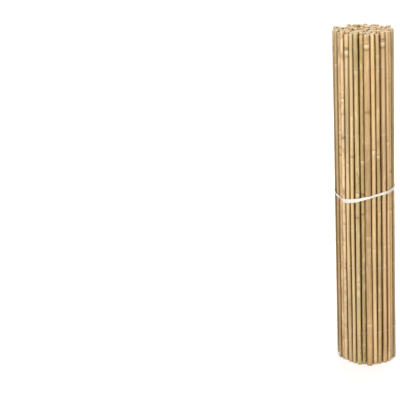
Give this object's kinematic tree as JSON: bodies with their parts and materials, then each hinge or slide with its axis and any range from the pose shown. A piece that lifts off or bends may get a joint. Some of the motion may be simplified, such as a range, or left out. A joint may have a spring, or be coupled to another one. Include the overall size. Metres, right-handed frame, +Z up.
{
  "type": "bamboo cane screening roll",
  "caption": "Screen of thin bamboo canes laced side by side with galvanised wire, wound into a tight upright roll and tied round its middle with a flat white strap.",
  "frame": {"origin": "on the floor at the middle of the roll's footprint", "axes": "+Z up along the canes; +Y away from the side that the picture shows"},
  "size_m": [0.1728, 0.1808, 1],
  "materials": {
    "cane_skin": "satin natural cane skin",
    "galvanised_wire": "dull zinc",
    "strap_plastic": "woven white tape, semi-matt"
  },
  "bodies": {
    "root": {"canes_turn_1": "cane_skin", "canes_turn_2": "cane_skin", "canes_turn_3": "cane_skin", "canes_turn_4": "cane_skin", "canes_turn_5": "cane_skin", "canes_turn_6": "cane_skin", "canes_turn_7": "cane_skin", "binding_wire_1": "galvanised_wire", "binding_wire_2": "galvanised_wire", "binding_wire_3": "galvanised_wire", "binding_wire_4": "galvanised_wire", "binding_wire_5": "galvanised_wire", "tie_strap": "strap_plastic"}
  },
  "joints": []
}
